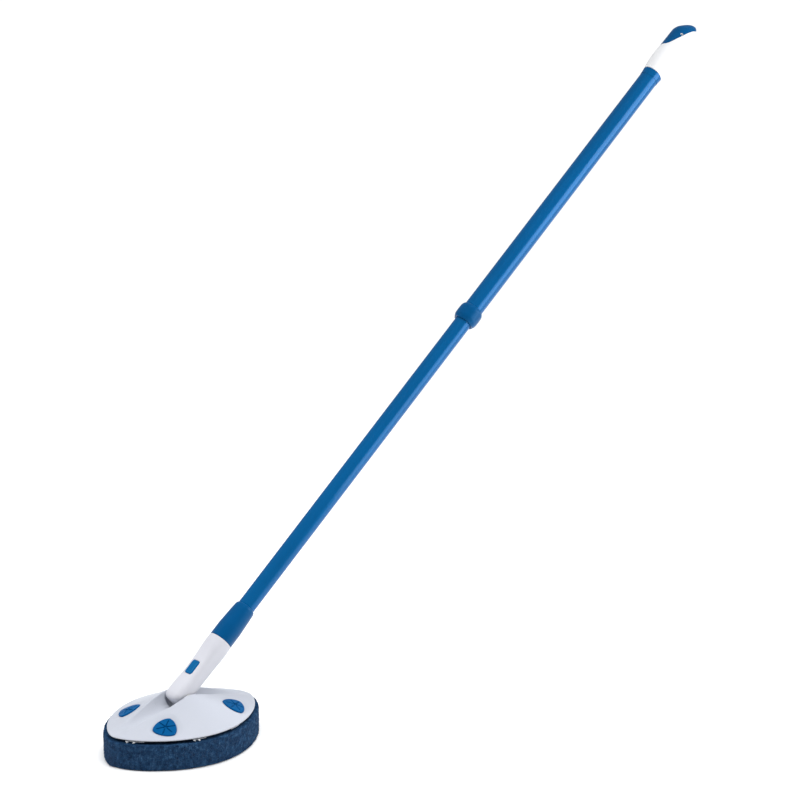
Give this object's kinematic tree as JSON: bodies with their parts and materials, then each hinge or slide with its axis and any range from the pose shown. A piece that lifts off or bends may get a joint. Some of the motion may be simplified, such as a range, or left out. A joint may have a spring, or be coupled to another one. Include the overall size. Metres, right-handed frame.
{
  "type": "pool wall brush",
  "caption": "Oval scrubbing pad under a domed head with cross-slit grippers, on a tilting neck and a two-stage telescopic pole with a curved end grip.",
  "frame": {"origin": "centre of the scrubbing pad's flat underside", "axes": "+Z out of the pad toward the head's crest, +X along the head's long axis toward the side the pole leans to, +Y completes the right-handed frame"},
  "size_m": [0.9865, 0.16, 0.7803],
  "materials": {
    "white_plastic": "satin moulded",
    "dark_plastic": "moulded",
    "navy_abrasive": "nonwoven abrasive",
    "blue_plastic": "satin moulded",
    "button_blue": "satin moulded",
    "blue_painted_tube": "gloss paint",
    "blue_rubber": "smooth",
    "bright_steel": "plain",
    "acetal": "moulded",
    "hook_tape": "hook tape"
  },
  "bodies": {
    "outer_pole": {"outer_tube": "blue_painted_tube", "lock_collar": "blue_plastic", "collar_wiper": "blue_rubber", "grip_ferrule": "blue_plastic", "grip": "white_plastic", "grip_insert": "blue_plastic"},
    "collet": {"lock_collet": "dark_plastic"},
    "inner_pole": {"inner_tube": "blue_painted_tube", "lock_plug": "acetal", "lock_cap": "acetal", "pole_cuff": "blue_plastic", "neck": "white_plastic", "button_spring": "bright_steel"},
    "button": {"release_button": "button_blue"},
    "head": {"head_cover": "white_plastic", "base_plate": "dark_plastic", "scrub_pad": "navy_abrasive", "pivot_pin": "bright_steel", "pin_washer_front": "acetal", "pin_washer_rear": "acetal", "pivot_saddle_front": "white_plastic", "pivot_saddle_rear": "white_plastic", "star_gripper_front_left": "blue_rubber", "star_gripper_front_right": "blue_rubber", "star_gripper_rear_left": "blue_rubber", "star_gripper_rear_right": "blue_rubber", "cover_screw_front_left": "bright_steel", "cover_screw_front_right": "bright_steel", "cover_screw_rear_left": "bright_steel", "cover_screw_rear_right": "bright_steel", "hook_strip_left": "hook_tape", "hook_strip_inner_left": "hook_tape", "hook_strip_inner_right": "hook_tape", "hook_strip_right": "hook_tape"}
  },
  "joints": [
    {"name": "pole_extend", "type": "slide", "parent": "outer_pole", "child": "collet", "axis": [0.7744, 0, 0.6327], "range_m": [0, 0.3]},
    {"name": "pole_twist", "type": "hinge", "parent": "collet", "child": "inner_pole", "pos_m": [0, 0, 0.0646], "axis": [0.7744, 0, 0.6327], "range_deg": [0, 120]},
    {"name": "button_press", "type": "slide", "parent": "inner_pole", "child": "button", "axis": [0.6327, 0, -0.7744], "range_m": [0, 0.0024], "stiffness_N_per_m": 1500, "springref_m": -0.0008, "deforming": ["button_spring"]},
    {"name": "head_tilt", "type": "hinge", "parent": "inner_pole", "child": "head", "pos_m": [0, 0, 0.0595], "axis": [0, 1, 0], "range_deg": [-37, 101]}
  ]
}
